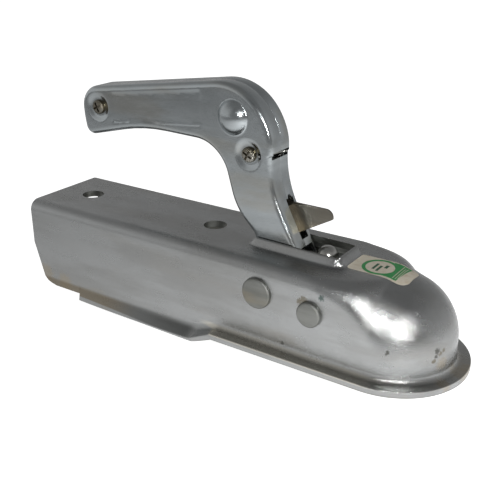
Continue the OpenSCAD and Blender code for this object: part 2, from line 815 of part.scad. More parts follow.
// The spherical clamp in section, from above its middle down to its tip
module jaw_section() {
    r0 = seat_r + 0.1;
    r1 = seat_r + jaw_t;
    reach = 2 * r1;
    intersection() {
        difference() {
            circle(r = r1, $fn = 96);
            circle(r = r0, $fn = 96);
        }
        polygon([[0, 0], [reach * cos(jaw_reach), -reach * sin(jaw_reach)], [reach, -reach * 0.5],
            [reach, 0], [reach * cos(jaw_rise), reach * sin(jaw_rise)]]);
    }
}

module jaw_bush() {
    r = jaw_rivet_d / 2 + run_gap;
    color(steel) translate(jaw_at) tube_y(r + jaw_bush_wall, r, -jaw_half, jaw_half);
}

housing();
handle_rivet();
jaw_rivet();
handle_spacer_left();
handle_spacer_right();
jaw_spacer_left();
jaw_spacer_right();
handle_spring();
jaw_spring();
handle_shell_left();
handle_shell_right();
handle_screws();
handle_nuts();
handle_bush();
locking_cam();
cam_rivet();
catch_pin();
catch_spring();
safety_catch();
jaw();
jaw_bush();
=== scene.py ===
import json
import math
from collections import Counter

import bmesh
import bpy
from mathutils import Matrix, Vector
from mathutils.bvhtree import BVHTree
from mathutils.geometry import delaunay_2d_cdt


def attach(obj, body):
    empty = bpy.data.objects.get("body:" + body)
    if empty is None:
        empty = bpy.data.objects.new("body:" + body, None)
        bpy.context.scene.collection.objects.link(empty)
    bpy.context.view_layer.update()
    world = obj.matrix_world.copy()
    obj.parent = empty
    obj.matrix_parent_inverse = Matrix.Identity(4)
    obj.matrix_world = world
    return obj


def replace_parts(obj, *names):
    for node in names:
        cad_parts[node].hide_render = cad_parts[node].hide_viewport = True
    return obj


# The origin is the centre of the ball, and +X points to the nose. Lengths are in millimetres, and in metres
# inside the materials, the ground's glow and the lamp.
MM = 0.001
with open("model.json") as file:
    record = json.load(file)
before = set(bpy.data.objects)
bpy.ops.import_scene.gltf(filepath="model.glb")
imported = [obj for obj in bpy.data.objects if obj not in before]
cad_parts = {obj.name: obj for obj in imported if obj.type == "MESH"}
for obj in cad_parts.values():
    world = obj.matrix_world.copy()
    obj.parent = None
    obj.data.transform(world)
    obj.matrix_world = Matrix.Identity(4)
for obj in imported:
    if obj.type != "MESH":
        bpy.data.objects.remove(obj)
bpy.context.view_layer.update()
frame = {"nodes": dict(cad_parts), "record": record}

# Pressed housing
SHEET = 3.5
BODY_REAR = 219
FLANGE_Z = -14.5
ROOF_Z = 31.5
WALL_Y = 29
DOME_R = 30
SEAT_R = 25.5
EDGE_R = 0.55
# The walls spread to the dome's radius between these two places
WIDEN_REAR, WIDEN_FRONT = -70, -25
# The corner between roof and wall grows from ROOF_R to SHOULDER_R on the way to the dome
ROOF_R = 6
SHOULDER_LEN = 33
SHOULDER_R = DOME_R - 4
SHOULDER_EARLY = 0.33
# The roof falls a little towards the front, and sinks where the dome begins
FALL_REAR = -110
ROOF_FALL = 0.8
SINK_LEN = 8
ROOF_SINK = 0.6
# On the dome the form of the last section dies out over this length
FADE = 7.8
# Flange, and the bent lip behind it
FLANGE_W = 8
FLANGE_OUT = WALL_Y + FLANGE_W
FOOT_R = 3
FOOT_LEN = FOOT_R * math.pi / 2
LIP_W = 5.22
LIP_REAR = 184
FLANGE_REAR = -84
JOG_LEN = 15
JOG_REAR = FLANGE_REAR - JOG_LEN
LIP_ANGLES = [(-LIP_REAR - 0.1, 1), (-LIP_REAR, 12), (JOG_REAR, 58), (FLANGE_REAR, 90)]
FOOT_HEIGHTS = [(-LIP_REAR, FLANGE_Z + 1.3), (JOG_REAR, FLANGE_Z + 2.3),
                (FLANGE_REAR, FLANGE_Z + SHEET + FOOT_R)]
# Lower edge of the wall behind the lip: distance from the rear end, and height over WALL_BOTTOM
WALL_BOTTOM = FLANGE_Z - 4.9
REAR_EDGE = [(0, 24.9), (6.2, 4.1), (8.5, 1.9), (11.3, 0.8), (15, 0)]
# Holes
BOLT_R = 6.25
BOLT_XS = (-196.5, -106.5)
RIVETS = ((-60.5, 15.5, 5), (-30.5, 13, 4))
# Slot with its raised rim
SLOT_FRONT = 27.5
SLOT_REAR = 77
SLOT_HALF = 9.6
SLOT_CORNER_R = 0.8
RIM_Y = 10.2
RIM_AHEAD = 0.6
RIM_SLOPE = 2.4
RIM_FRONT_SLOPE = 4.4
RIM_CORNER_R = 2.5
RIM_REAR, RIM_FULL = -SLOT_REAR - 1, -SLOT_REAR + 4
COLLAR_H = 4

# Handle. Places on it are measured from its pivot, and its outline is a list of corners (x, z, radius).
HANDLE_AT = Vector((-60.5, 0, 15.5))
HANDLE_CORNERS = [
    (14.5, -14.5, 14), (14.5, 8.6, 8), (-6, 47.7, 55), (-4.8, 99.8, 30),
    (-130.6, 82, 12.2), (-129.9, 65.9, 42), (-127.9, 55.1, 5.2), (-86.5, 65.3, 115),
    (-36.5, 64.1, 20.6), (-27.4, 31.9, 33), (-15.2, 20, 6), (-14.5, -14.5, 14.3),
]
HALF_T = 9
SHELL_T = 2
SHELL_BEND = 3
BOSS_AT = (-27.8, 78.6)
BOSS_R = 8.7
BOSS_H = 4.9
BOSS_SPHERE_R = (BOSS_R ** 2 + BOSS_H ** 2) / (2 * BOSS_H)
SCREWS_AT = ((-117.6, 72.4), (-18.7, 61.3))
DIMPLE_DEPTH = 1.1
DIMPLE_FLAT = 4.8
DIMPLE_REACH = 8.4
PANEL_DEPTH = 0.2
PANEL = [(-107, 81.4), (-107, 65.4), (-80.7, 68.2), (-62, 70.2), (-47.2, 71.6), (-47.2, 89.6)]
# Slit in the front wall, which stands out by SLIT_STEP above it
SLIT = ((-8.6, -7.3, 60.3), (3, 7.6, 63.8))
SLIT_Z = 62.2
SLIT_STEP = 0.7
SIDE_SLIT = (-13.4, 59.7, -11.4, 63.1)
CATCH_SLOT = ((-6, -1, 20.2), (14, 5.1, 39.5))
STOP_HOLE = (2.5, 39.5, 1.6)
# The rim is cut away round the pivot, between the shells
RIM_CUT = [(-20, -20), (20, -20), (20, 17), (-9, 17), (-9, 21), (-20, 21)]
BUSH_R = 7.46
CAM_RIVET_AT = (-7.5, 9.5)
CAM_RIVET_R = 2.5
SCREW_R = 2.45
SCREW_HOLE_R = 2.55
SCREW_TURNS = (25, 62)
# Head of a screw: height over its seat, and radius
SCREW_HEAD = [(2.1, 2.1), (2, 2.8), (1.7, 3.4), (1.2, 3.8), (0.6, 3.95), (0, 3.95)]
RECESS_DEPTH = 1.2
RECESS_ARM = (2.7, 0.55)
WIRE_R = 0.5
COIL_AT = (-9, 36)
COIL_R = 4.31


def ease(a, b, x):
    """Rises smoothly from 0 at a to 1 at b."""
    t = max(0.0, min(1.0, (x - a) / (b - a)))
    return t * t * (3 - 2 * t)


def lookup(x, table):
    """Reads a value from a list of (place, value), on straight lines between them."""
    if x <= table[0][0]:
        return table[0][1]
    for (x0, y0), (x1, y1) in zip(table, table[1:]):
        if x <= x1:
            return y0 + (y1 - y0) * (x - x0) / (x1 - x0)
    return table[-1][1]


def span(a, b, n):
    """n + 1 values from a to b."""
    return [a + (b - a) * i / n for i in range(n + 1)]


# Meshes

def new_object(name, verts, faces, smooth_angle=38):
    """A mesh in the scene, from points in millimetres."""
    mesh = bpy.data.meshes.new(name)
    mesh.from_pydata([[c * MM for c in v] for v in verts], [], faces)
    mesh.validate()
    obj = bpy.data.objects.new(name, mesh)
    bpy.context.scene.collection.objects.link(obj)
    smooth(obj, smooth_angle)
    return obj


def smooth(obj, angle):
    """Smooth shading, with sharp edges where two faces meet at more than this angle."""
    mesh = obj.data
    for p in mesh.polygons:
        p.use_smooth = True
    mesh.set_sharp_from_angle(angle=math.radians(angle))


def clean(obj, distance=0.001):
    """Joins points that lie together and turns the faces outwards."""
    bm = bmesh.new()
    bm.from_mesh(obj.data)
    bmesh.ops.remove_doubles(bm, verts=bm.verts, dist=distance * MM)
    bmesh.ops.dissolve_degenerate(bm, edges=bm.edges, dist=distance * MM)
    bmesh.ops.recalc_face_normals(bm, faces=bm.faces)
    bm.to_mesh(obj.data)
    bm.free()


def apply_modifiers(obj):
    graph = bpy.context.evaluated_depsgraph_get()
    mesh = bpy.data.meshes.new_from_object(obj.evaluated_get(graph))
    obj.modifiers.clear()
    obj.data = mesh


def cut(obj, cutters):
    for cutter in cutters:
        mod = obj.modifiers.new("cut", "BOOLEAN")
        mod.operation = "DIFFERENCE"
        mod.solver = "EXACT"
        mod.object = cutter
    apply_modifiers(obj)
    for cutter in cutters:
        bpy.data.objects.remove(cutter)


def prism(name, outline, axis, low, high):
    """A prism whose outline lies across the axis, from low to high along it."""
    def place(p, h):
        return {"X": (h, p[0], p[1]), "Y": (p[0], h, p[1]), "Z": (p[0], p[1], h)}[axis]
    n = len(outline)
    verts = [place(p, low) for p in outline] + [place(p, high) for p in outline]
    faces = [[i, (i + 1) % n, n + (i + 1) % n, n + i] for i in range(n)]
    faces += [list(range(n - 1, -1, -1)), list(range(n, 2 * n))]
    obj = new_object(name, verts, faces)
    clean(obj)
    return obj


def join(objects):
    """One mesh from several that don't overlap."""
    bm = bmesh.new()
    for obj in objects:
        bm.from_mesh(obj.data)
    bm.to_mesh(objects[0].data)
    bm.free()
    for obj in objects[1:]:
        bpy.data.objects.remove(obj)
    return objects[0]


def on_circle(x, y, r, degrees):
    a = math.radians(degrees)
    return (x + r * math.cos(a), y + r * math.sin(a))


def circle(x, y, r, n=64):
    return [on_circle(x, y, r, 360 * i / n) for i in range(n)]


SQUARE = ((-1, -1), (1, -1), (1, 1), (-1, 1))


def round_corners(corners):
    """A closed outline from quarter circles, each given by its centre, radius and first angle."""
    return [on_circle(x, y, r, a) for x, y, r, start in corners for a in span(start, start + 90, 8)]


def rectangle(x0, y0, x1, y1, r):
    """A rectangle with round corners."""
    return round_corners([(x1 - r, y1 - r, r, 0), (x0 + r, y1 - r, r, 90),
                          (x0 + r, y0 + r, r, 180), (x1 - r, y0 + r, r, 270)])


def bands(rows, n):
    """Faces between neighbouring rows of n points, each row a closed loop."""
    return [[k * n + i, k * n + (i + 1) % n, (k + 1) * n + (i + 1) % n, (k + 1) * n + i]
            for k in range(rows - 1) for i in range(n)]


def lathe(name, x, z, profile, n=56):
    """A body turned about an axis along Y. The profile is a list of (y, radius)."""
    verts = [(px, y, pz) for y, r in profile for px, pz in circle(x, z, r, n)]
    faces = bands(len(profile), n)
    last = (len(profile) - 1) * n
    obj = new_object(name, verts, faces + [list(range(n)), list(range(last, last + n))])
    clean(obj)
    return obj


def wire(name, path, r):
    """A round wire along a path that is smoothed between its points."""
    curve = bpy.data.curves.new(name, "CURVE")
    curve.dimensions = "3D"
    curve.bevel_depth = r * MM
    curve.bevel_resolution = 3
    curve.resolution_u = 6
    curve.use_fill_caps = True
    spline = curve.splines.new("BEZIER")
    spline.bezier_points.add(len(path) - 1)
    for point, at in zip(spline.bezier_points, path):
        point.co = Vector(at) * MM
        point.handle_left_type = point.handle_right_type = "AUTO"
    source = bpy.data.objects.new(name + "_path", curve)
    bpy.context.scene.collection.objects.link(source)
    graph = bpy.context.evaluated_depsgraph_get()
    obj = bpy.data.objects.new(name, bpy.data.meshes.new_from_object(source.evaluated_get(graph)))
    bpy.data.objects.remove(source)
    bpy.context.scene.collection.objects.link(obj)
    smooth(obj, 60)
    return obj


# Materials

def shader(name):
    mat = bpy.data.materials.new(name)
    mat.use_nodes = True
    return mat, mat.node_tree, mat.node_tree.nodes["Principled BSDF"]


class Graph:
    """Short names for the nodes that the materials here use."""

    def __init__(self, tree):
        self.tree = tree
        self.coord = tree.nodes.new("ShaderNodeTexCoord").outputs["Object"]

    def link(self, a, b):
        self.tree.links.new(a, b)

    def noise(self, scale, detail=4, stretch=(1, 1, 1)):
        mapping = self.tree.nodes.new("ShaderNodeMapping")
        mapping.inputs["Scale"].default_value = stretch
        self.link(self.coord, mapping.inputs["Vector"])
        node = self.tree.nodes.new("ShaderNodeTexNoise")
        node.inputs["Scale"].default_value = scale
        node.inputs["Detail"].default_value = detail
        node.inputs["Roughness"].default_value = 0.55
        self.link(mapping.outputs["Vector"], node.inputs["Vector"])
        return node.outputs["Fac"]

    def ramp(self, fac, stops):
        """A colour read from a list of (place, colour)."""
        node = self.tree.nodes.new("ShaderNodeValToRGB")
        while len(node.color_ramp.elements) < len(stops):
            node.color_ramp.elements.new(0.5)
        for element, (pos, colour) in zip(node.color_ramp.elements, stops):
            element.position = pos
            element.color = tuple(colour) + (1,)
        self.link(fac, node.inputs["Fac"])
        return node.outputs["Color"]

    def range(self, value, a, b, c, d, smooth_steps=True):
        """c where the value is a, d where it is b, and in between a smooth or a straight change."""
        node = self.tree.nodes.new("ShaderNodeMapRange")
        node.interpolation_type = "SMOOTHSTEP" if smooth_steps else "LINEAR"
        for key, v in zip(("From Min", "From Max", "To Min", "To Max"), (a, b, c, d)):
            node.inputs[key].default_value = v
        self.link(value, node.inputs["Value"])
        return node.outputs["Result"]

    def mix(self, fac, a, b):
        node = self.tree.nodes.new("ShaderNodeMix")
        node.data_type = "RGBA"
        self.link(fac, node.inputs[0])
        for socket, v in ((node.inputs[6], a), (node.inputs[7], b)):
            if isinstance(v, (tuple, list)):
                socket.default_value = tuple(v) + (1,)
            else:
                self.link(v, socket)
        return node.outputs[2]

    def math(self, op, a, b):
        node = self.tree.nodes.new("ShaderNodeMath")
        node.operation = op
        for socket, v in zip(node.inputs, (a, b)):
            if isinstance(v, (int, float)):
                socket.default_value = v
            else:
                self.link(v, socket)
        return node.outputs[0]

    def spot(self, at, r):
        """1 inside a small patch with ragged edges, 0 outside."""
        node = self.tree.nodes.new("ShaderNodeVectorMath")
        node.operation = "DISTANCE"
        self.link(self.coord, node.inputs[0])
        node.inputs[1].default_value = Vector(at) * MM
        ragged = self.math("MULTIPLY", self.noise(1300, 3), 1.5 * r * MM)
        return self.range(self.math("ADD", node.outputs["Value"], ragged), 1.2 * r * MM, 1.7 * r * MM, 1, 0)

    def axis(self, name):
        node = self.tree.nodes.new("ShaderNodeSeparateXYZ")
        self.link(self.coord, node.inputs[0])
        return node.outputs[name]

    def bump(self, height, distance, strength=1.0, normal=None):
        node = self.tree.nodes.new("ShaderNodeBump")
        node.inputs["Distance"].default_value = distance
        node.inputs["Strength"].default_value = strength
        self.link(height, node.inputs["Height"])
        if normal is not None:
            self.link(normal, node.inputs["Normal"])
        return node.outputs["Normal"]


PASSIVATION = (0.40, 0.34, 0.24)
SMUDGE = (0.2, 0.18, 0.14)
SCRATCH = (0.1, 0.1, 0.09)
GREEN_SMUDGE = (0.08, 0.12, 0.11)
TAN = (0.42, 0.35, 0.24)
# How far a mark spreads beyond its radius, and how strong it is
MARK_SPREAD = (1.9, 0.85)
STAIN_SPREAD = (1.4, 0.45)
# Heights between which the plating changes, in metres
TINT_BAND = (-0.016, 0.004)
LIP_BAND = (-0.02, -0.0135)
# Place and radius in millimetres, and colour
MARKS = (
    ((-36.4, -29, 17.8), 1.3, SMUDGE), ((-34.2, -29, 19.4), 1.6, SMUDGE), ((-32.3, -29, 18.6), 1.1, SMUDGE),
    ((-24.7, -29.5, 22.9), 1.1, GREEN_SMUDGE), ((-45.3, -29, -7.4), 0.8, SCRATCH),
    ((26.3, -13.3, 3.6), 1.1, SCRATCH), ((27, -11.6, 1.9), 0.9, SMUDGE), ((26, -13.9, 1.2), 0.8, SCRATCH),
    ((27.8, -9.6, 3), 0.8, SMUDGE), ((25.6, -14.8, -1), 0.9, SMUDGE), ((8.9, -28.1, 4.5), 0.6, SCRATCH),
    ((8.5, -28.2, 3.7), 0.5, SCRATCH), ((34.5, -2, -11), 4.5, TAN), ((35, 4, -11), 3.5, TAN),
    ((31, -15, -11.5), 3.2, TAN), ((27, -10, -4), 3.4, TAN),
    ((-212, -29, -13), 6, TAN), ((-196, -29, -14.5), 5, TAN),
)


def marked(g, colour, marks):
    """The colour with smudges, scratches and stains on it."""
    for at, r, stain in marks:
        grow, amount = STAIN_SPREAD if stain == TAN else MARK_SPREAD
        colour = g.mix(g.math("MULTIPLY", g.spot(at, r * grow), amount), colour, stain)
    return colour


def paint_lip_shade_and_light(g, colour):
    """The bent lip behind the flange is darkened with painted shade, tan towards the rear, and the flange's
    upper face is painted a pale tan as painted light.
    """
    low, high = LIP_BAND
    # Painted shade along the bent lip, behind x = -100 mm: dark grey, and dark tan at the rear
    shade = g.math("MULTIPLY", g.range(g.axis("Z"), high, high - 0.0025, 0, 0.75),
                   g.range(g.axis("Z"), low - 0.0006, low, 0, 1))
    shade = g.math("MULTIPLY", shade, g.range(g.axis("X"), -0.096, -0.104, 0, 1))
    bent = g.mix(g.range(g.axis("X"), -0.165, -0.135, 0, 1), (0.21, 0.17, 0.11), (0.15, 0.155, 0.15))
    colour = g.mix(shade, colour, bent)
    # Painted light: the flange's upward face is painted a pale tan, from about x = -90 mm and weaker at the
    # front
    top = g.math("MULTIPLY", g.range(g.axis("Z"), -0.0085, -0.0105, 0, 0.6),
                 g.range(g.axis("Z"), -0.0122, -0.0114, 0, 1))
    length = g.math("MULTIPLY", g.range(g.axis("X"), -0.098, -0.088, 0, 1),
                    g.range(g.axis("X"), -0.005, 0.012, 1, 0.15))
    return g.mix(g.math("MULTIPLY", top, length), colour, (0.72, 0.68, 0.58))


def zinc(name, base, dark, rough, tint_amount=0.5, grain=0.00004, pressing=False):
    """Zinc plating: streaks, a fine grain and patches of yellow passivation. A pressing is marked too, and
    its lip and flange get painted shade and painted light.
    """
    mat, tree, bsdf = shader(name)
    g = Graph(tree)
    bsdf.inputs["Metallic"].default_value = 1
    streaks = g.noise(60, 5, (0.25, 1, 1.6))
    colour = g.mix(g.range(streaks, 0.35, 0.65, 0, 1), base, dark)
    patches = g.range(g.noise(38, 4, (0.35, 1, 1.4)), 0.5, 0.68, 0, tint_amount)
    if pressing:
        patches = g.math("MULTIPLY", patches, g.range(g.axis("Z"), *TINT_BAND, 1, 0.12))
    colour = g.mix(patches, colour, PASSIVATION)
    if pressing:
        colour = paint_lip_shade_and_light(g, marked(g, colour, MARKS))
    g.link(colour, bsdf.inputs["Base Color"])
    wear = g.noise(140, 5, (0.5, 1, 1))
    g.link(g.range(wear, 0.3, 0.7, rough - 0.05, rough + 0.09), bsdf.inputs["Roughness"])
    normal = g.bump(g.noise(90, 3), 0.0006, 0.25)
    g.link(g.bump(g.noise(2600, 3), grain, 1.0, normal), bsdf.inputs["Normal"])
    return mat


def paper(name, colour):
    """A printed label that has yellowed a little."""
    mat, tree, bsdf = shader(name)
    g = Graph(tree)
    worn = tuple(c * k for c, k in zip(colour, (0.86, 0.8, 0.72)))
    g.link(g.mix(g.range(g.noise(420, 5), 0.45, 0.75, 0, 1), colour, worn), bsdf.inputs["Base Color"])
    g.link(g.range(g.noise(300, 3), 0.3, 0.7, 0.38, 0.55), bsdf.inputs["Roughness"])
    g.link(g.bump(g.noise(1500, 3), 0.00002), bsdf.inputs["Normal"])
    return mat


# Two colours, roughness, share of yellow, depth of the grain in metres, and whether it is the pressing
PLATINGS = {
    "zinc_plate": ((0.42, 0.43, 0.43), (0.36, 0.365, 0.36), 0.2, 0.5, 0.00014, True),
    # The inside of the pressing and the walls of its cuts: the plating darkened as painted shade
    "zinc_inside_painted_shade": ((0.26, 0.265, 0.25), (0.17, 0.175, 0.16), 0.45, 0.4),
    "zinc_rivet": ((0.3, 0.305, 0.29), (0.21, 0.215, 0.2), 0.4, 0.5, 0.0002),
    "zinc_handle": ((0.46, 0.495, 0.51), (0.42, 0.45, 0.46), 0.15, 0.25, 0.00005),
    "screw_face": ((0.46, 0.45, 0.41), (0.13, 0.12, 0.09), 0.3, 0.5, 0.0003),
    # Dark brown painted shade for the rims of the screw heads
    "screw_rim_painted_shade": ((0.12, 0.1, 0.06), (0.06, 0.05, 0.03), 0.4),
    "wire": ((0.6, 0.6, 0.57), (0.45, 0.45, 0.42), 0.25, 0.2),
    "plain_steel": ((0.45, 0.45, 0.43), (0.36, 0.36, 0.34), 0.35, 0.2),
    "yellow_zinc": ((0.46, 0.43, 0.33), (0.34, 0.31, 0.22), 0.3, 0.6),
    "catch_steel": ((0.28, 0.265, 0.225), (0.2, 0.185, 0.155), 0.38, 0.3),
    "jaw_iron": ((0.52, 0.52, 0.5), (0.4, 0.4, 0.385), 0.24, 0.2),
    "spring_steel": ((0.3, 0.3, 0.3), (0.2, 0.2, 0.2), 0.35, 0.2),
}
MATERIALS = {name: zinc(name, *values) for name, values in PLATINGS.items()}
MATERIALS["label_paper"] = paper("label_paper", (0.62, 0.57, 0.47))
MATERIALS["label_green"] = paper("label_green", (0.03, 0.25, 0.07))
MATERIALS["label_ink"] = paper("label_ink", (0.02, 0.09, 0.04))


# Housing

def half_width(x):
    return WALL_Y + (DOME_R - WALL_Y) * ease(WIDEN_REAR, WIDEN_FRONT, x)


def corner_r(x):
    """The corner between roof and wall widens slowly at first, and fast where the dome begins."""
    t = max(0, 1 + x / SHOULDER_LEN)
    share = SHOULDER_EARLY * t * ease(0, 0.25, t) + (1 - SHOULDER_EARLY) * t ** 4
    return ROOF_R + (SHOULDER_R - ROOF_R) * share


def roof_height(x):
    return ROOF_Z - ROOF_FALL * ease(FALL_REAR, WIDEN_FRONT, x) - ROOF_SINK * max(0, 1 + x / SINK_LEN) ** 2


def collar(x, y):
    """Height of the rim that stands along both sides of the slot and round its front end."""
    ahead = max(0, (x + SLOT_FRONT - RIM_AHEAD) * RIM_SLOPE / RIM_FRONT_SLOPE + RIM_CORNER_R)
    off = max(0, math.hypot(ahead, max(0, y - RIM_Y + RIM_CORNER_R)) - RIM_CORNER_R)
    return COLLAR_H * (1 - ease(0, RIM_SLOPE, off)) * ease(RIM_REAR, RIM_FULL, x)


def lip_width(x):
    """Width of the flange or lip beyond its bend."""
    if x < FLANGE_REAR:
        return lookup(x, [(JOG_REAR, LIP_W), (FLANGE_REAR, FLANGE_W - FOOT_R)])
    return FLANGE_OUT - half_width(x) - FOOT_R


def foot_z(x):
    """Height at which the wall begins to bend outwards."""
    if x < -LIP_REAR:
        return WALL_BOTTOM + lookup(x + BODY_REAR, REAR_EDGE) + FOOT_LEN + LIP_W
    return lookup(x, FOOT_HEIGHTS)


def half_section(x, depth):
    """Points of one face of the sheet, from the centre of the roof to the edge of the lip."""
    w = half_width(x) - depth
    h = roof_height(x) - depth
    r = max(corner_r(x) - depth, 2)
    flat = w - r
    squeeze = min(1, flat / (WALL_Y - ROOF_R - depth))
    a = math.radians(lookup(x, LIP_ANGLES))
    bend = FOOT_LEN / a + depth
    foot = foot_z(x)
    lip = lip_width(x)
    points = []
    roof_ys = [0, 2.5, 5, 7.5, 9] + span(RIM_Y, RIM_Y + RIM_SLOPE, 8) + [14.5, 17, 19]
    for y in roof_ys:
        y = min(y, WALL_Y - ROOF_R - depth) * squeeze
        points.append((y, h + collar(x, y)))
    for t in span(0, math.pi / 2, 18):
        points.append((flat + r * math.sin(t), h - r + r * math.cos(t)))
    for z in span(h - r, foot + 0.6, 13)[1:] + [foot]:
        points.append((w, z))
    for t in span(0, a, 9)[1:]:
        points.append((w + bend * (1 - math.cos(t)), foot - bend * math.sin(t)))
    tip = (w + bend * (1 - math.cos(a)) + lip * math.sin(a), foot - bend * math.sin(a) - lip * math.cos(a))
    along = (math.sin(a), -math.cos(a))
    out = (math.cos(a), math.sin(a))
    side = 1 if depth == 0 else -1
    centre = [tip[k] - EDGE_R * (along[k] + side * out[k]) for k in (0, 1)]
    for t in span(0, math.pi / 2, 3):
        spoke = [side * out[k] * math.cos(t) + along[k] * math.sin(t) for k in (0, 1)]
        points.append((centre[0] + EDGE_R * spoke[0], centre[1] + EDGE_R * spoke[1]))
    return points


def meridian(points, r0, angle):
    """The section turned round the dome's axis. Above the centre it changes into a sphere of radius r0."""
    out = []
    for y, z in points:
        if z > 0:
            d, e = math.hypot(y, z), math.atan2(z, y)
            u = r0 * math.cos(e) * math.cos(angle)
            rr = r0 + (d - r0) * (max(0, 1 - u / FADE) ** 2)
            y, z = rr * math.cos(e), rr * math.sin(e)
        out.append((y, z))
    return out


def station_xs():
    """Places along the housing that get a section, close together where its form changes."""
    xs = [-BODY_REAR + d for d in (0, 1, 2, 3.1, 4.6, 6.2, 7.3, 8.5, 9.9, 11.3, 13, 15, 20, 25, 30)]
    xs.append(-LIP_REAR - 0.1)
    stretches = ((-LIP_REAR, JOG_REAR, 30), (JOG_REAR, FLANGE_REAR, 14), (FLANGE_REAR + 2, RIM_REAR, 3),
                 (RIM_REAR, RIM_FULL + 1, 10), (RIM_FULL + 1, -SLOT_FRONT - 1, 16),
                 (-SLOT_FRONT - 1, -SLOT_FRONT + 4, 14), (-SLOT_FRONT + 4, 0, 26))
    for a, b, n in stretches:
        xs += [x for x in span(a, b, n) if x > xs[-1]]
    return xs


def housing_rows():
    """Rows of points on both faces of the sheet, along one side, round the dome and back on the other."""
    xs = station_xs()
    rows = []
    for x in xs:
        section = half_section(x, 0) + half_section(x, SHEET)[::-1]
        rows.append([(x, y, z) for y, z in section])
    outer, inner = half_section(0, 0), half_section(0, SHEET)
    for angle in span(90, -90, 60)[1:-1]:
        a = math.radians(angle)
        section = meridian(outer, DOME_R, a) + meridian(inner, SEAT_R, a)[::-1]
        rows.append([(y * math.cos(a), y * math.sin(a), z) for y, z in section])
    for x in reversed(xs):
        section = half_section(x, 0) + half_section(x, SHEET)[::-1]
        rows.append([(x, -y, z) for y, z in section])
    return rows


def two_faced(obj, inner):
    """Gives a mesh the plating of the pressing outside, and inside a darker copy of it that is painted
    shade. A list says which faces are inner.
    """
    obj.data.materials.append(MATERIALS["zinc_plate"])
    obj.data.materials.append(MATERIALS["zinc_inside_painted_shade"])
    for p, is_inner in zip(obj.data.polygons, inner):
        p.material_index = 1 if is_inner else 0


def make_housing():
    """The pressing: a closed mesh from the rows, with slot and holes cut out."""
    rows = housing_rows()
    m = len(rows[0])
    verts = [p for row in rows for p in row]
    faces, inner = [], []
    for s in range(len(rows) - 1):
        for k in range(m - 1):
            faces.append([s * m + k, s * m + k + 1, (s + 1) * m + k + 1, (s + 1) * m + k])
            inner.append(k >= m // 2)
    for s in (0, len(rows) - 1):
        for k in range(m // 2 - 1):
            faces.append([s * m + k, s * m + k + 1, s * m + m - 2 - k, s * m + m - 1 - k])
    obj = new_object("housing_pressing", verts, faces)
    two_faced(obj, inner + [False] * (len(faces) - len(inner)))
    clean(obj)
    slot = rectangle(-SLOT_REAR, -SLOT_HALF, -SLOT_FRONT, SLOT_HALF, SLOT_CORNER_R)
    through_roof = ("Z", 18, 45)
    cutters = [prism("slot_cut", slot, *through_roof)]
    cutters += [prism("bolt_cut", circle(x, 0, BOLT_R), *through_roof) for x in BOLT_XS]
    cutters += [prism("rivet_cut", circle(x, z, r), "Y", -40, 40) for x, z, r in RIVETS]
    cutter = join(cutters)
    two_faced(cutter, [True] * len(cutter.data.polygons))
    cut(obj, [cutter])
    smooth(obj, 32)
    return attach(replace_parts(obj, "housing"), "housing")


housing = make_housing()


# Handle shells

def direction(a, b):
    """Unit vector from one corner to the next."""
    v = Vector((b[0] - a[0], b[1] - a[1]))
    return v.normalized()


def inset(corners, d):
    """Moves every side of the outline inwards by d."""
    out = []
    n = len(corners)
    for i, (x, z, r) in enumerate(corners):
        u = direction(corners[i - 1], corners[i])
        v = direction(corners[i], corners[(i + 1) % n])
        a, b = Vector((-u.y, u.x)), Vector((-v.y, v.x))
        move = (a + b) * (d / (1 + a.dot(b)))
        grow = -d if u.x * v.y - u.y * v.x > 0 else d
        out.append((x + move.x, z + move.y, max(r + grow, 0.2)))
    return out


def rounded(corners):
    """The outline with an arc at every corner, in steps of 4 degrees or less."""
    out = []
    n = len(corners)
    for i, (x, z, r) in enumerate(corners):
        u = direction(corners[i - 1], corners[i])
        v = direction(corners[i], corners[(i + 1) % n])
        t = math.atan2(u.x * v.y - u.y * v.x, u.dot(v))
        s = math.copysign(1, t)
        centre = Vector((x, z)) - u * (r * math.tan(abs(t) / 2)) + s * r * Vector((-u.y, u.x))
        for a in span(0, t, max(2, math.ceil(abs(math.degrees(t)) / 4))):
            spoke = Vector((-u.y * math.cos(a) - u.x * math.sin(a), u.x * math.cos(a) - u.y * math.sin(a)))
            out.append(centre - s * r * spoke)
    return out


def subdivisions(outline):
    """How many pieces each side of the outline is cut into: finer round the slit."""
    counts = []
    n = len(outline)
    for i, p in enumerate(outline):
        q = outline[(i + 1) % n]
        middle = (p + q) / 2
        step = 0.6 if middle.x > -12 and 56 < middle.y < 68 else 2
        counts.append(max(1, math.ceil((q - p).length / step)))
    return counts


def ring(d, counts):
    """Points of the outline moved inwards by d, as many on each side as the counts say."""
    outline = rounded(inset(HANDLE_CORNERS, d) if d else HANDLE_CORNERS)
    out = []
    n = len(outline)
    for i, p in enumerate(outline):
        q = outline[(i + 1) % n]
        out += [p.lerp(q, k / counts[i]) for k in range(counts[i])]
    return [p + Vector((step_at_slit(p), 0)) for p in out]


def step_at_slit(p):
    """Above the slit the front wall stands out a little more than below it."""
    if p.x < -14 or p.y < SLIT_Z:
        return 0
    return SLIT_STEP * (1 - ease(SLIT_Z + 2, SLIT_Z + 20, p.y))


def polygon_depth(p, polygon):
    """Distance from the edge of a polygon, positive inside."""
    inside = False
    nearest = 1e9
    n = len(polygon)
    for i in range(n):
        a, b = Vector(polygon[i]), Vector(polygon[(i + 1) % n])
        t = max(0, min(1, (p - a).dot(b - a) / (b - a).length_squared))
        nearest = min(nearest, (p - a.lerp(b, t)).length)
        if (a.y > p.y) != (b.y > p.y) and p.x < a.x + (p.y - a.y) * (b.x - a.x) / (b.y - a.y):
            inside = not inside
    return nearest if inside else -nearest


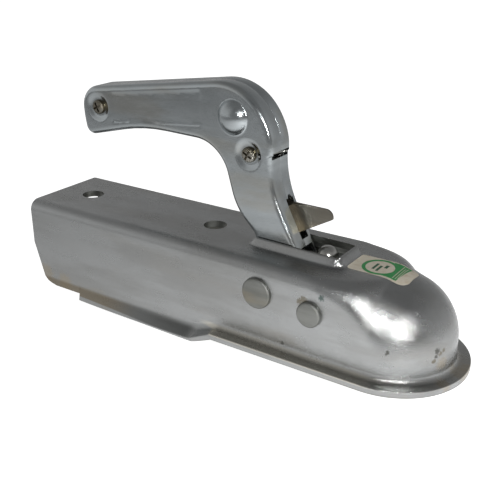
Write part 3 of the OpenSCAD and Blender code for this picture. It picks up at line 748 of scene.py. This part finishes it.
def relief(p):
    """How far the face of a half shell stands out at this place."""
    d = (p - Vector(BOSS_AT)).length
    if d < BOSS_R + 2:
        cap = math.sqrt(BOSS_SPHERE_R ** 2 - d * d) - (BOSS_SPHERE_R - BOSS_H)
        blend = 0.5
        k = max(blend - abs(cap), 0) / blend
        return max(0, cap) + k * k * blend / 4
    for at in SCREWS_AT:
        d = (p - Vector(at)).length
        if d < DIMPLE_REACH:
            return -DIMPLE_DEPTH * (1 - ease(DIMPLE_FLAT, DIMPLE_REACH, d))
    return -PANEL_DEPTH * ease(-0.45, 0.45, polygon_depth(p, PANEL))


def face_points(boundary):
    """Points inside the face: rings round boss and dimples, lines along the panel's edge, and a grid."""
    points = []
    boss_offsets = (-7.6, -6.4, -5.2, -4, -3, -2.2, -1.5, -0.9, -0.45, -0.2, 0, 0.25, 0.6, 1.2)
    dimple_radii = (3.4, 4.6, 5.2, 5.8, 6.4, 7, 7.6, 8.2, 8.8)
    ring_sets = [(BOSS_AT, [BOSS_R + d for d in boss_offsets])] + [(at, dimple_radii) for at in SCREWS_AT]
    for at, radii in ring_sets:
        for r in radii:
            points += [Vector(c) for c in circle(at[0], at[1], r, max(8, round(2 * math.pi * r / 0.9)))]
    n = len(PANEL)
    for i in range(n):
        a, b = Vector(PANEL[i]), Vector(PANEL[(i + 1) % n])
        along = (b - a).normalized()
        across = Vector((-along.y, along.x))
        shares = span(0, 1, round((b - a).length / 1.2))[1:-1]
        for off in (-0.5, 0, 0.5):
            points += [a.lerp(b, t) + across * off for t in shares]
    points += grid_points(boundary)
    return [p for p in points if polygon_depth(p, boundary) > 0.5]


def grid_points(boundary):
    """A grid of triangles with sides of 1.5, left out where rings and lines are."""
    side, height = 1.5, 1.299
    xs, ys = [p.x for p in boundary], [p.y for p in boundary]
    points = []
    for j in range(int((max(ys) - min(ys)) / height) + 1):
        for i in range(int((max(xs) - min(xs)) / side) + 1):
            p = Vector((min(xs) + (i + (j % 2) / 2) * side, min(ys) + j * height))
            near_boss = (p - Vector(BOSS_AT)).length < BOSS_R + 2
            near_screw = any((p - Vector(at)).length < 9.6 for at in SCREWS_AT)
            if not near_boss and not near_screw and abs(polygon_depth(p, PANEL)) >= 1.2:
                points.append(p)
    return points


def triangulate(boundary, inner):
    """Triangles inside a closed boundary. Returns the points, the boundary's first, and the triangles."""
    n = len(boundary)
    edges = [(i, (i + 1) % n) for i in range(n)]
    flat = [Vector(p) for p in boundary] + inner
    verts, _, faces, originals, _, _ = delaunay_2d_cdt(flat, edges, [], 1, 1e-5)
    order = [o[0] if o else None for o in originals]
    points = [None] * (n + len(inner))
    where = {}
    for i, o in enumerate(order):
        if o is None:
            o = len(points)
            points.append(None)
        points[o] = verts[i]
        where[i] = o
    return points, [[where[i] for i in f] for f in faces]


def shell_levels():
    """The bent rim of a half shell as (y, inset): round the outer bend, along the seam and back inside."""
    straight = HALF_T - SHELL_BEND
    inner = SHELL_BEND - SHELL_T
    levels = [(HALF_T, SHELL_BEND + 0.7)]
    levels += [(straight + SHELL_BEND * math.sin(a), SHELL_BEND * (1 - math.cos(a)))
               for a in span(math.pi / 2, 0, 9)]
    levels += [(0.24, 0), (0.12, 0.04), (0.05, 0.15), (0.05, 1.7), (0.4, SHELL_T)]
    levels += [(straight + inner * math.sin(a), SHELL_BEND - inner * math.cos(a))
               for a in span(0, math.pi / 2, 4)]
    return levels + [(HALF_T - SHELL_T, SHELL_BEND + 0.7)]


def shell_mesh(name, side):
    """A half shell: the bent rim, closed by its outer and its inner face."""
    counts = subdivisions(rounded(HANDLE_CORNERS))
    levels = shell_levels()
    rings = [ring(d, counts) for _, d in levels]
    m = len(rings[0])
    verts = []
    for (y, _), points in zip(levels, rings):
        verts += [HANDLE_AT + Vector((p.x, side * y, p.y)) for p in points]
    faces = bands(len(levels), m)
    points, triangles = triangulate(rings[0], face_points(rings[0]))
    for y, first in ((HALF_T, 0), (HALF_T - SHELL_T, (len(levels) - 1) * m)):
        start = len(verts)
        verts += [HANDLE_AT + Vector((p.x, side * (y + relief(p)), p.y)) for p in points[m:]]
        faces += [[first + i if i < m else start + i - m for i in f] for f in triangles]
    obj = new_object(name, verts, faces)
    clean(obj, 0.0005)
    return obj


def shift(points):
    """From places measured from the handle's pivot to places in the frame."""
    return [(x + HANDLE_AT.x, z + HANDLE_AT.z) for x, z in points]


def box(name, low, high):
    """A box measured from the handle's pivot."""
    (x0, y0, z0), (x1, y1, z1) = low, high
    return prism(name, shift([(x0, z0), (x1, z0), (x1, z1), (x0, z1)]), "Y", y0, y1)


def make_shell(side):
    """The half shell on one side, with its bores and the slots in its front wall."""
    name = "handle_shell_left" if side > 0 else "handle_shell_right"
    obj = shell_mesh(name.replace("handle_", "") + "_pressing", side)
    reach = sorted((side * 12, side * 0.02))
    bores = [circle(0, 0, BUSH_R), circle(*CAM_RIVET_AT, CAM_RIVET_R, 32)]
    bores += [circle(*at, SCREW_HOLE_R, 32) for at in SCREWS_AT]
    cutters = [prism("bore", shift(points), "Y", *reach) for points in bores]
    cutters.append(box("slit", *SLIT))
    cutters.append(box("catch_cut", *CATCH_SLOT))
    if side < 0:
        cutters.append(prism("side_slit", shift(rectangle(*SIDE_SLIT, 0.9)), "Y", -12, -5))
    more = [prism("rim_cut", shift(RIM_CUT), "Y", -6, 6)]
    y, z, r = STOP_HOLE
    hole = circle(y, HANDLE_AT.z + z, r, 32)
    more.append(prism("stop_hole", hole, "X", HANDLE_AT.x - 8.4, HANDLE_AT.x + 12))
    cut(obj, [join(cutters), join(more)])
    smooth(obj, 30)
    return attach(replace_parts(obj, name), "handle")


shells = [make_shell(side) for side in (-1, 1)]


# Rivets, screws and the catch's spring

def make_rivet(name, x, z, shank, head, height, edge):
    """A rivet with a flat head on both sides. The edge of each head is rounded."""
    y = half_width(x)
    half = [(y + height, head - edge)]
    half += [(y + height - edge * (1 - math.cos(a)), head - edge + edge * math.sin(a))
             for a in span(0, math.pi / 2, 6)[1:]]
    half += [(y, head), (y, shank)]
    obj = lathe(name + "_formed", x, z, half + [(-a, r) for a, r in reversed(half)])
    obj.data.materials.append(MATERIALS["zinc_rivet"])
    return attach(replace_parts(obj, name), "housing")


def make_screw(x, z, turn):
    """A pan head with a cross recess, seated in its dimple."""
    seat = -HALF_T + DIMPLE_DEPTH
    profile = [(seat - h, r) for h, r in SCREW_HEAD] + [(seat, SCREW_R), (10.5, SCREW_R), (10.8, 2.2)]
    obj = lathe("screw", x, z, profile, 48)
    length, width = RECESS_ARM
    arms = []
    for k in range(2):
        a = math.radians(turn + 90 * k)
        u, v = Vector((math.cos(a), math.sin(a))), Vector((-math.sin(a), math.cos(a)))
        corners = [Vector((x, z)) + u * i * length + v * j * width for i, j in SQUARE]
        arms.append(prism("recess", corners, "Y", seat - 4, seat - SCREW_HEAD[0][0] + RECESS_DEPTH))
    cut(obj, arms)
    smooth(obj, 35)
    return obj


def make_screws():
    """Both screws in one node. Their heads are light on the outward face, and painted dark brown as shade
    round the rim and in the recess.
    """
    obj = join([make_screw(x, z, turn) for (x, z), turn in zip(shift(SCREWS_AT), SCREW_TURNS)])
    obj.name = "screws_with_recess"
    obj.data.materials.append(MATERIALS["screw_face"])
    obj.data.materials.append(MATERIALS["screw_rim_painted_shade"])
    # Painted shade: faces that don't look outwards get the dark brown rim colour
    for p in obj.data.polygons:
        p.material_index = 0 if p.normal.y < -0.6 else 1
    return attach(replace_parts(obj, "handle_screws"), "handle")


def make_catch_spring():
    """One wire: it hooks through the side slit and the front slit and runs down to its coil on the pin."""
    hook = [(-12.4, -8.9, 61.4), (-12.4, -6.8, 61.4), (-10.6, -5, 61.6), (-8.4, -1, 61.9), (-7.4, 3.4, 62),
            (-5.8, 5.7, 62.1), (-7.4, 6.1, 61.2), (-11, 3, 57), (-13.2, -4.6, 49), (-13.3, -4.6, 42)]
    steps = 12 * 2
    coil = []
    for i in range(steps + 1):
        x, z = on_circle(*COIL_AT, COIL_R, 180 + 30 * i)
        coil.append((x, -4.6 + 3.3 * i / steps, z))
    path = [HANDLE_AT + Vector(p) for p in hook + coil + [(-13.3, -1.3, 30)]]
    obj = wire("catch_spring_wire", path, WIRE_R)
    obj.data.materials.append(MATERIALS["wire"])
    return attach(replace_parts(obj, "catch_spring"), "handle")


make_rivet("handle_rivet", *RIVETS[0], head=8, height=1.8, edge=1)
make_rivet("jaw_rivet", *RIVETS[1], head=6.4, height=2.4, edge=1.2)
make_screws()
make_catch_spring()


# Label

# Boxes are x0, y0, x1, y1
LABEL = (-23.2, -8.6, 7.2, 9.8)
LABEL_CORNERS = (4.2, 1.3, 1.3, 5)
DISC_AT = (-10, 0.4)
DISC_R = 7
RING_R = 8.8
FIELD = [(-10, -7.4), (1.4, -7.4), (3.2, 9.1), (-6, 9.1)]
STRIPES = [(-0.9, -6.4, -0.55, 8), (0.4, -6.4, 0.7, 6.5), (1.4, -5.5, 1.7, 7.6)]
BARS = [(-13, -3.2, -11.7, 3.8), (-10.6, -4.4, -9.3, 2.2), (-8.2, 0.4, -6.6, 4)]


def label_region(p):
    """0 for bare paper, 1 for green, 2 for dark print."""
    def held(boxes):
        return any(x0 < p.x < x1 and y0 < p.y < y1 for x0, y0, x1, y1 in boxes)
    off = (p - Vector(DISC_AT)).length
    if off < DISC_R:
        return 2 if held(BARS) else 0
    if off < RING_R or (polygon_depth(p, FIELD) > 0 and not held(STRIPES)):
        return 1
    return 0


def label_outline():
    x0, y0, x1, y1 = LABEL
    a, b, c, d = LABEL_CORNERS
    corners = [(x1 - a, y1 - a, a, 0), (x0 + b, y1 - b, b, 90),
               (x0 + c, y0 + c, c, 180), (x1 - d, y0 + d, d, 270)]
    return [Vector(p) for p in round_corners(corners)]


def label_pattern():
    """Points and edges of the label's outline and print, and points between them."""
    outline = label_outline()
    loops = [outline, circle(*DISC_AT, DISC_R, 72), circle(*DISC_AT, RING_R, 84), FIELD]
    loops += [[(x0, y0), (x1, y0), (x1, y1), (x0, y1)] for x0, y0, x1, y1 in STRIPES + BARS]
    points, edges = [], []
    for loop in loops:
        first = len(points)
        for i, q in enumerate(loop):
            a, b = Vector(q), Vector(loop[(i + 1) % len(loop)])
            pieces = max(1, math.ceil((b - a).length / 0.8))
            points += [a.lerp(b, k / pieces) for k in range(pieces)]
        n = len(points) - first
        edges += [(first + i, first + (i + 1) % n) for i in range(n)]
    x0, y0, x1, y1 = LABEL
    for x in span(x0, x1, 24):
        for y in span(y0, y1, 16):
            if polygon_depth(Vector((x, y)), outline) > 0.4:
                points.append(Vector((x, y)))
    return points, edges


def make_label():
    """A thin label laid over the roof and the start of the dome. Its print is plain shapes."""
    points, edges = label_pattern()
    verts, _, faces, _, _, _ = delaunay_2d_cdt(points, edges, [], 1, 1e-4)
    graph = bpy.context.evaluated_depsgraph_get()
    tree = BVHTree.FromObject(housing, graph)
    top = []
    for v in verts:
        hit = tree.ray_cast(Vector((v.x, v.y, 60)) * MM, Vector((0, 0, -1)))[0]
        top.append((v.x, v.y, hit.z / MM + 0.12))
    n = len(top)
    sides = [side for f in faces for side in zip(f, f[1:] + f[:1])]
    uses = Counter(frozenset(side) for side in sides)
    solid = [list(f) for f in faces] + [[n + i for i in reversed(f)] for f in faces]
    solid += [[b, a, n + a, n + b] for a, b in sides if uses[frozenset((a, b))] == 1]
    obj = new_object("label", top + [(x, y, z - 0.16) for x, y, z in top], solid, 60)
    for name in ("label_paper", "label_green", "label_ink"):
        obj.data.materials.append(MATERIALS[name])
    for p in obj.data.polygons:
        p.material_index = label_region(Vector((p.center.x, p.center.y)) / MM) if p.normal.z > 0.3 else 0
    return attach(obj, "housing")


make_label()


# Finishes

def dress(obj, slot):
    obj.data.materials.clear()
    obj.data.materials.append(MATERIALS[slot])


def soften_edges(obj, width):
    mod = obj.modifiers.new("soft_edges", "BEVEL")
    mod.width = width * MM
    mod.segments = 2
    mod.limit_method = "ANGLE"
    mod.angle_limit = math.radians(50)


SLOT_OF = {p["node"]: p["material_slot"] for p in frame["record"]["subparts"]}
for node, obj in frame["nodes"].items():
    dress(obj, SLOT_OF[node])
    smooth(obj, 32)
for shell in shells:
    dress(shell, "zinc_handle")
soften_edges(frame["nodes"]["safety_catch"], 0.25)


# Floor, light and camera

# Two places (x, z) on which the head rests
FLOOR_REST = ((-100, -22.4), (37, -14.5))
FLOOR_SIZE = 3000
CAMERA_AT = Vector((126.72, -314.02, 184.06))
CAMERA_AZ = 33.877
CAMERA_EL = 23.178
LENS = 56.24
# The ground is brightest in reflections at this place, in metres
GLOW_AT = (0.075, -0.095, 0)
FLASH_AT = (0.2, -0.318, 0.228)
FLASH_TARGET = (0, 0, 0.01)
# Brightness of the room at a height from 0, level, to 1, overhead
LIT_SIDE = ((0, 0.62), (0.35, 0.58), (0.5, 0.46), (0.68, 0.3), (0.8, 0.23), (1, 0.2))
DIM_SIDE = ((0, 0.52), (0.26, 0.5), (0.5, 0.4), (0.7, 0.25), (0.87, 0.2), (1, 0.2))


class Tree(Graph):
    """A graph for the floor and the world, which have no Principled node."""

    def __init__(self, tree, out_type, coord):
        tree.nodes.clear()
        self.tree = tree
        self.out = tree.nodes.new(out_type)
        self.coord = tree.nodes.new("ShaderNodeTexCoord").outputs[coord]
        self.path = tree.nodes.new("ShaderNodeLightPath")

    def node(self, kind, **inputs):
        """A node with its inputs set or linked. An input named i0, i1 and so on is taken by its number."""
        node = self.tree.nodes.new(kind)
        for key, value in inputs.items():
            socket = node.inputs[int(key[1:])] if key[1:].isdigit() else node.inputs[key]
            if isinstance(value, bpy.types.NodeSocket):
                self.link(value, socket)
            else:
                socket.default_value = value
        return node.outputs[0]

    def dot(self, direction):
        node = self.tree.nodes.new("ShaderNodeVectorMath")
        node.operation = "DOT_PRODUCT"
        self.link(self.coord, node.inputs[0])
        node.inputs[1].default_value = Vector(direction).normalized()
        return node.outputs["Value"]

    def level(self, value, stops):
        """A brightness read from a list of (value, brightness), for values from -1 to 1."""
        grey = [(0.5 + v / 2, (b, b, b)) for v, b in stops]
        return self.ramp(self.range(value, -1, 1, 0, 1, False), grey)


def make_floor():
    """The head stands on its rear lips and the front of its flange, so the floor slopes by 3.3 degrees."""
    (x0, z0), (x1, z1) = FLOOR_REST
    slope = (z1 - z0) / (x1 - x0)
    corners = [(FLOOR_SIZE * i, FLOOR_SIZE * j) for i, j in SQUARE]
    obj = new_object("floor", [(x, y, z0 - 0.1 + slope * (x - x0)) for x, y in corners], [[0, 1, 2, 3]])
    mat = bpy.data.materials.new("floor")
    mat.use_nodes = True
    t = Tree(mat.node_tree, "ShaderNodeOutputMaterial", "Object")
    # Reflections see a floor that fades away from GLOW_AT and is darker far in front
    offset = t.tree.nodes.new("ShaderNodeVectorMath")
    offset.operation = "DISTANCE"
    t.link(t.coord, offset.inputs[0])
    offset.inputs[1].default_value = GLOW_AT
    fade = t.math("POWER", math.e, t.math("MULTIPLY", offset.outputs["Value"], -5))
    far = t.range(t.axis("Y"), -0.6, -0.3, 0.2, 0.38)
    mirrored = t.node("ShaderNodeEmission", Strength=t.math("ADD", t.math("MULTIPLY", fade, 1.25), far))
    lit = t.node("ShaderNodeBsdfDiffuse", Color=(0.9, 0.9, 0.9, 1))
    # The camera sees white, apart from the ground that the head covers
    open_x = t.range(t.axis("X"), -0.165, -0.18, 0, 1)
    open_y = t.range(t.math("ABSOLUTE", t.axis("Y"), 0), 0.016, 0.024, 0, 1)
    bare = t.math("MAXIMUM", t.math("MAXIMUM", open_x, open_y), t.range(t.axis("X"), 0.005, 0.02, 0, 1))
    seen = t.math("MULTIPLY", t.path.outputs["Is Camera Ray"], bare)
    glow = t.node("ShaderNodeEmission", Strength=t.math("MULTIPLY", seen, 0.9))
    plain = t.node("ShaderNodeAddShader", i0=lit, i1=glow)
    surface = t.node("ShaderNodeMixShader", i0=t.path.outputs["Is Glossy Ray"], i1=plain, i2=mirrored)
    t.link(surface, t.out.inputs["Surface"])
    obj.data.materials.append(mat)


def make_world():
    """White where the camera looks. Light and reflections get a soft grey room, brighter on one side."""
    world = bpy.data.worlds.new("studio")
    bpy.context.scene.world = world
    world.use_nodes = True
    t = Tree(world.node_tree, "ShaderNodeOutputWorld", "Generated")
    up = t.dot((0, 0, 1))
    lit, dim = t.level(up, LIT_SIDE), t.level(up, DIM_SIDE)
    far_side = t.range(t.dot((-0.17, 0.98, 0)), 0.5, 0.9, 1, 0.62)
    beside_camera = t.range(t.dot((0.5, -0.87, 0)), 0.45, 0.8, 1, 0.42)
    below = t.range(up, -0.03, 0.03, 1, 0)
    dips = t.math("MULTIPLY", far_side, t.math("MAXIMUM", beside_camera, below))
    room = t.mix(t.range(t.dot((-0.42, -0.91, 0)), 0.05, 0.4, 0, 1), dim, lit)
    soft = t.node("ShaderNodeBackground", Color=room, Strength=dips)
    white = t.node("ShaderNodeBackground", Color=(1, 1, 1, 1))
    surface = t.node("ShaderNodeMixShader", i0=t.path.outputs["Is Camera Ray"], i1=soft, i2=white)
    t.link(surface, t.out.inputs["Surface"])


def area_light(name, at, target, size, power):
    """A round lamp that points at its target."""
    light = bpy.data.lights.new(name, "AREA")
    light.shape = "DISK"
    light.size = size
    light.energy = power
    obj = bpy.data.objects.new(name, light)
    bpy.context.scene.collection.objects.link(obj)
    obj.location = Vector(at)
    obj.rotation_euler = (Vector(target) - obj.location).to_track_quat("-Z", "Y").to_euler()


def make_camera():
    a, e = math.radians(CAMERA_AZ), math.radians(CAMERA_EL)
    back = Vector((math.sin(a) * math.cos(e), -math.cos(a) * math.cos(e), math.sin(e)))
    data = bpy.data.cameras.new("camera")
    data.lens = LENS
    data.sensor_width = 36
    data.clip_start, data.clip_end = 0.01, 20
    obj = bpy.data.objects.new("camera", data)
    bpy.context.scene.collection.objects.link(obj)
    obj.location = CAMERA_AT * MM
    obj.rotation_mode = "QUATERNION"
    obj.rotation_quaternion = (-back).to_track_quat("-Z", "Y")
    bpy.context.scene.camera = obj


make_floor()
make_world()
area_light("flash", FLASH_AT, FLASH_TARGET, size=0.04, power=1)
make_camera()
bpy.context.scene.view_settings.view_transform = "Standard"
